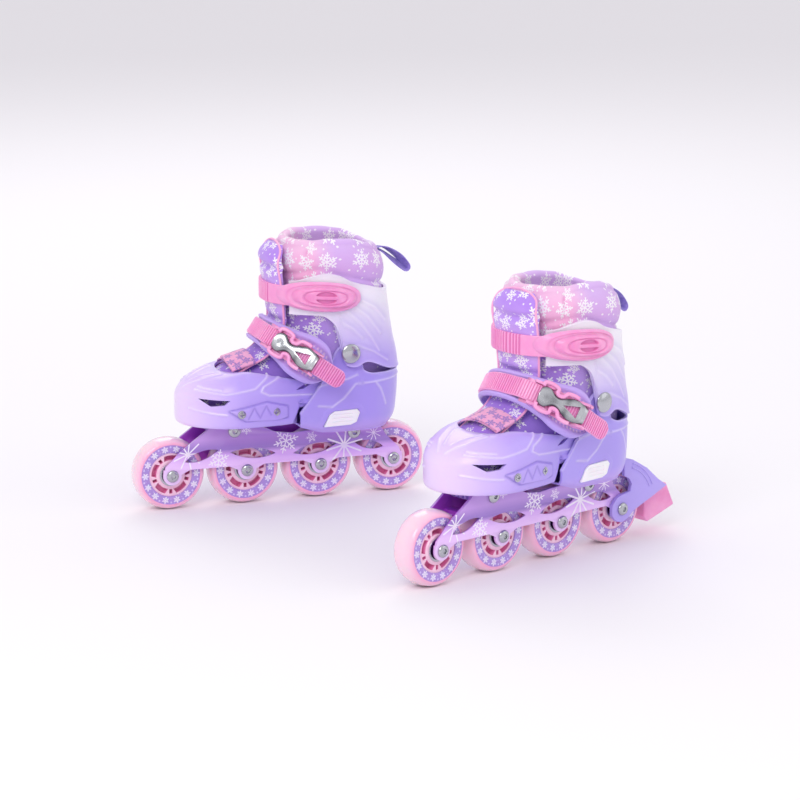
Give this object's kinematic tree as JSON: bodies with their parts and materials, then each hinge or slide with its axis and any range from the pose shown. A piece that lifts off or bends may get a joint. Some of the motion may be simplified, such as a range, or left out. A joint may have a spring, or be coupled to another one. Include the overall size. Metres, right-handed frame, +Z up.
{
  "type": "inline skates",
  "caption": "Adjustable children's inline skates with hinged cuffs, sliding toe shells, padded liners and a heel brake.",
  "frame": {"origin": "on the ground under the middle of the pair's bounding box", "axes": "+Z up, the first skate's toe points to -X and its buckles face -Y; the second skate stands to the right and in front, its toe turned 23 degrees towards -Y"},
  "size_m": [0.4643, 0.4288, 0.256],
  "materials": {
    "pink_urethane": "translucent cast polyurethane",
    "pale_pink_nylon": "moulded nylon",
    "bearing_steel": "ground steel",
    "orchid_aluminium": "gloss coated aluminium",
    "lavender_shell": "moulded polypropylene",
    "lilac_shell": "moulded polypropylene, fading to white",
    "printed_fabric": "printed polyester over foam",
    "pink_strap": "moulded elastomer",
    "pink_webbing": "woven hook-and-loop webbing",
    "chrome_steel": "polished",
    "white_button": "moulded acetal",
    "pad_foam": "coated foam pad",
    "ribbon": "woven ribbon",
    "brake_rubber": "moulded rubber",
    "spring_steel": "bright spring wire"
  },
  "bodies": {
    "base": {"left_frame": "orchid_aluminium", "left_heel_shell": "lavender_shell", "left_liner": "printed_fabric", "left_tongue": "printed_fabric", "left_ankle_pad": "pad_foam", "left_ankle_strap": "pink_strap", "left_ankle_buckle": "pink_strap", "left_button_spring": "spring_steel", "right_frame": "orchid_aluminium", "right_heel_shell": "lavender_shell", "right_liner": "printed_fabric", "right_tongue": "printed_fabric", "right_ankle_pad": "pad_foam", "right_ankle_strap": "pink_strap", "right_ankle_buckle": "pink_strap", "right_button_spring": "spring_steel", "wheel_bearings": "bearing_steel", "bearing_spacers": "bearing_steel", "axle_bolts": "chrome_steel", "mount_bolts": "chrome_steel", "ankle_rivets": "chrome_steel", "footbeds": "printed_fabric", "brake_arm": "lavender_shell", "brake_pad": "brake_rubber"},
    "left_wheel_1": {"left_tyre_1": "pink_urethane", "left_hub_1": "pale_pink_nylon"},
    "left_wheel_2": {"left_tyre_2": "pink_urethane", "left_hub_2": "pale_pink_nylon"},
    "left_wheel_3": {"left_tyre_3": "pink_urethane", "left_hub_3": "pale_pink_nylon"},
    "left_wheel_4": {"left_tyre_4": "pink_urethane", "left_hub_4": "pale_pink_nylon"},
    "left_toe": {"left_toe_shell": "lilac_shell", "left_toe_screws": "chrome_steel", "left_instep_strap": "pink_webbing"},
    "left_cuff_body": {"left_cuff": "lilac_shell", "left_cuff_strap": "pink_strap", "left_cuff_buckle": "pink_strap", "left_pull_loop": "ribbon"},
    "left_cuff_lever_body": {"left_cuff_lever": "pink_strap"},
    "left_ankle_lever_body": {"left_ankle_lever": "chrome_steel"},
    "left_button_body": {"left_size_button": "white_button"},
    "right_wheel_1": {"right_tyre_1": "pink_urethane", "right_hub_1": "pale_pink_nylon"},
    "right_wheel_2": {"right_tyre_2": "pink_urethane", "right_hub_2": "pale_pink_nylon"},
    "right_wheel_3": {"right_tyre_3": "pink_urethane", "right_hub_3": "pale_pink_nylon"},
    "right_wheel_4": {"right_tyre_4": "pink_urethane", "right_hub_4": "pale_pink_nylon"},
    "right_toe": {"right_toe_shell": "lilac_shell", "right_toe_screws": "chrome_steel", "right_instep_strap": "pink_webbing"},
    "right_cuff_body": {"right_cuff": "lilac_shell", "right_cuff_strap": "pink_strap", "right_cuff_buckle": "pink_strap", "right_pull_loop": "ribbon"},
    "right_cuff_lever_body": {"right_cuff_lever": "pink_strap"},
    "right_ankle_lever_body": {"right_ankle_lever": "chrome_steel"},
    "right_button_body": {"right_size_button": "white_button"}
  },
  "joints": [
    {"name": "left_wheel_1_spin", "type": "hinge", "parent": "base", "child": "left_wheel_1", "pos_m": [-0.19716, 0.15663, 0.035], "axis": [0, 1, 0], "continuous": true},
    {"name": "left_wheel_2_spin", "type": "hinge", "parent": "base", "child": "left_wheel_2", "pos_m": [-0.12216, 0.15663, 0.035], "axis": [0, 1, 0], "continuous": true},
    {"name": "left_wheel_3_spin", "type": "hinge", "parent": "base", "child": "left_wheel_3", "pos_m": [-0.04716, 0.15663, 0.035], "axis": [0, 1, 0], "continuous": true},
    {"name": "left_wheel_4_spin", "type": "hinge", "parent": "base", "child": "left_wheel_4", "pos_m": [0.02784, 0.15663, 0.035], "axis": [0, 1, 0], "continuous": true},
    {"name": "left_toe_slide", "type": "slide", "parent": "base", "child": "left_toe", "axis": [-1, 0, 0], "range_m": [0, 0.02]},
    {"name": "left_cuff_hinge", "type": "hinge", "parent": "base", "child": "left_cuff_body", "pos_m": [-0.02666, 0.15663, 0.15], "axis": [0, -1, 0], "range_deg": [0, 8], "deforming": ["left_liner", "left_tongue"]},
    {"name": "left_cuff_lever_hinge", "type": "hinge", "parent": "left_cuff_body", "child": "left_cuff_lever_body", "pos_m": [-0.08417, 0.11248, 0.208], "axis": [0, 0, -1], "range_deg": [0, 75]},
    {"name": "left_ankle_lever_hinge", "type": "hinge", "parent": "base", "child": "left_ankle_lever_body", "pos_m": [-0.06883, 0.08859, 0.146], "axis": [0.5693, 0, 0.8221], "range_deg": [0, 60]},
    {"name": "left_button_push", "type": "slide", "parent": "base", "child": "left_button_body", "axis": [0, 1, 0], "range_m": [0, 0.003], "stiffness_N_per_m": 500, "springref_m": -0.001, "deforming": ["left_button_spring"]},
    {"name": "right_wheel_1_spin", "type": "hinge", "parent": "base", "child": "right_wheel_1", "pos_m": [-0.05322, -0.18733, 0.035], "axis": [-0.3907, 0.9205, 0], "continuous": true},
    {"name": "right_wheel_2_spin", "type": "hinge", "parent": "base", "child": "right_wheel_2", "pos_m": [0.01582, -0.15802, 0.035], "axis": [-0.3907, 0.9205, 0], "continuous": true},
    {"name": "right_wheel_3_spin", "type": "hinge", "parent": "base", "child": "right_wheel_3", "pos_m": [0.08486, -0.12872, 0.035], "axis": [-0.3907, 0.9205, 0], "continuous": true},
    {"name": "right_wheel_4_spin", "type": "hinge", "parent": "base", "child": "right_wheel_4", "pos_m": [0.1539, -0.09941, 0.035], "axis": [-0.3907, 0.9205, 0], "continuous": true},
    {"name": "right_toe_slide", "type": "slide", "parent": "base", "child": "right_toe", "axis": [-0.9205, -0.3907, 0], "range_m": [0, 0.02]},
    {"name": "right_cuff_hinge", "type": "hinge", "parent": "base", "child": "right_cuff_body", "pos_m": [0.10373, -0.12071, 0.15], "axis": [0.3907, -0.9205, 0], "range_deg": [0, 8], "deforming": ["right_liner", "right_tongue"]},
    {"name": "right_cuff_lever_hinge", "type": "hinge", "parent": "right_cuff_body", "child": "right_cuff_lever_body", "pos_m": [0.06804, -0.18382, 0.208], "axis": [0, 0, -1], "range_deg": [0, 75]},
    {"name": "right_ankle_lever_hinge", "type": "hinge", "parent": "base", "child": "right_ankle_lever_body", "pos_m": [0.09149, -0.19982, 0.146], "axis": [0.524, 0.2224, 0.8221], "range_deg": [0, 60]},
    {"name": "right_button_push", "type": "slide", "parent": "base", "child": "right_button_body", "axis": [-0.3907, 0.9205, 0], "range_m": [0, 0.003], "stiffness_N_per_m": 500, "springref_m": -0.001, "deforming": ["right_button_spring"]}
  ]
}
